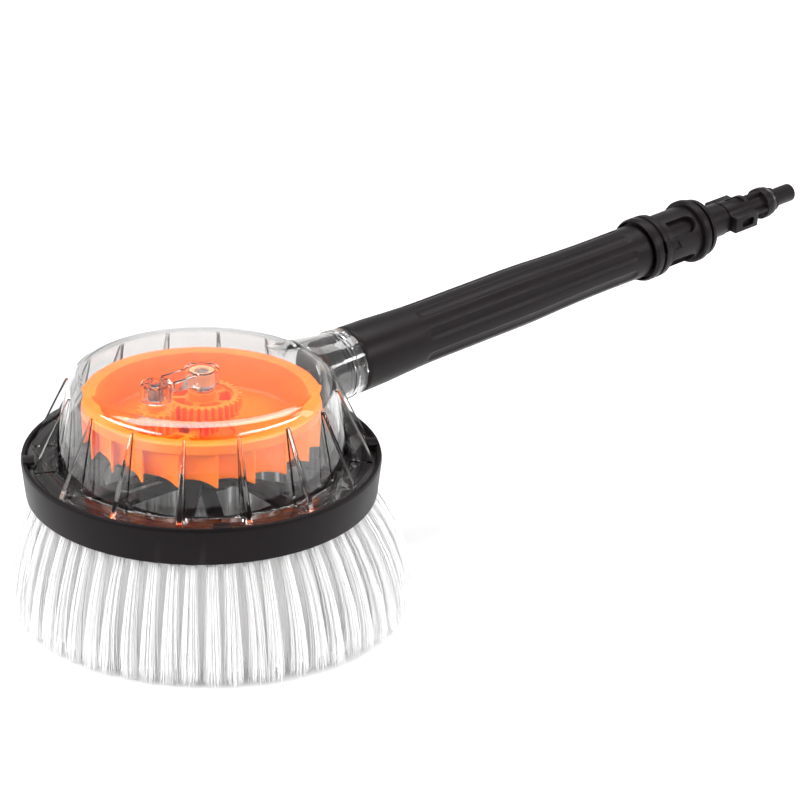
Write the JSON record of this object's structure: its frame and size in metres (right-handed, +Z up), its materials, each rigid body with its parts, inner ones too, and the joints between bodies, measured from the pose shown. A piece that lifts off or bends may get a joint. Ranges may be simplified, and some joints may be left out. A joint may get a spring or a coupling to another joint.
{
  "type": "rotary wash brush",
  "caption": "Water-driven rotary wash brush for a pressure washer: clear dome with turbine and gears, black base ring, flared white bristles, long black handle with a bayonet adapter.",
  "frame": {"origin": "centre of the whole length, on the plane of the bristle tips", "axes": "+Z up along the brush spin axis, +X from the brush head towards the handle and its adapter, +Y to the left of the handle seen from behind the brush"},
  "size_m": [0.4728, 0.1754, 0.1194],
  "materials": {
    "clear_plastic": "clear moulded polycarbonate, polished",
    "black_plastic": "fine moulded grain, satin black",
    "grip_plastic": "blow-moulded satin black with soft flutes",
    "orange_plastic": "semi-gloss moulded orange",
    "bristle_nylon": "white drawn filaments in tufts",
    "bush_plastic": "natural low-friction plastic",
    "steel": "bright stainless, turned",
    "brass": "turned brass",
    "seal_rubber": "black moulded rubber"
  },
  "bodies": {
    "housing": {"dome_cover": "clear_plastic", "base_housing": "black_plastic", "lower_bush": "bush_plastic", "top_bush": "bush_plastic", "idler_axle": "steel", "idler_clip": "steel", "neck_plug": "black_plastic", "plug_seal": "seal_rubber", "jet_nozzle": "brass", "inner_pipe": "black_plastic", "grip": "grip_plastic", "grip_end_ring": "grip_plastic", "collar_sleeve": "grip_plastic", "collar_ring": "grip_plastic", "adapter_socket": "black_plastic", "pipe_seal": "seal_rubber", "adapter_body": "black_plastic", "adapter_seal": "seal_rubber", "adapter_oring": "seal_rubber"},
    "turbine": {"turbine_wheel": "orange_plastic", "turbine_bush_lower": "bush_plastic", "turbine_bush_upper": "bush_plastic"},
    "idler": {"idler_gear": "orange_plastic"},
    "brush": {"drive_shaft": "steel", "output_gear": "orange_plastic", "shaft_clip": "steel", "brush_disc": "black_plastic", "disc_washer": "steel", "disc_screw": "steel", "bristle_row_1": "bristle_nylon", "bristle_row_2": "bristle_nylon", "bristle_row_3": "bristle_nylon", "bristle_row_4": "bristle_nylon"}
  },
  "joints": [
    {"name": "brush_spin", "type": "hinge", "parent": "housing", "child": "brush", "pos_m": [-0.14874, 0, 0.06], "axis": [0, 0, 1], "continuous": true},
    {"name": "idler_spin", "type": "hinge", "parent": "housing", "child": "idler", "pos_m": [-0.17374, 0, 0.09], "axis": [0, 0, 1], "continuous": true},
    {"name": "turbine_spin", "type": "hinge", "parent": "housing", "child": "turbine", "pos_m": [-0.14874, 0, 0.085], "axis": [0, 0, 1], "continuous": true}
  ],
  "couplings": [
    {"joint": "idler_spin", "follows": "brush_spin", "ratio": -2.125},
    {"joint": "turbine_spin", "follows": "brush_spin", "ratio": 5.4643}
  ]
}
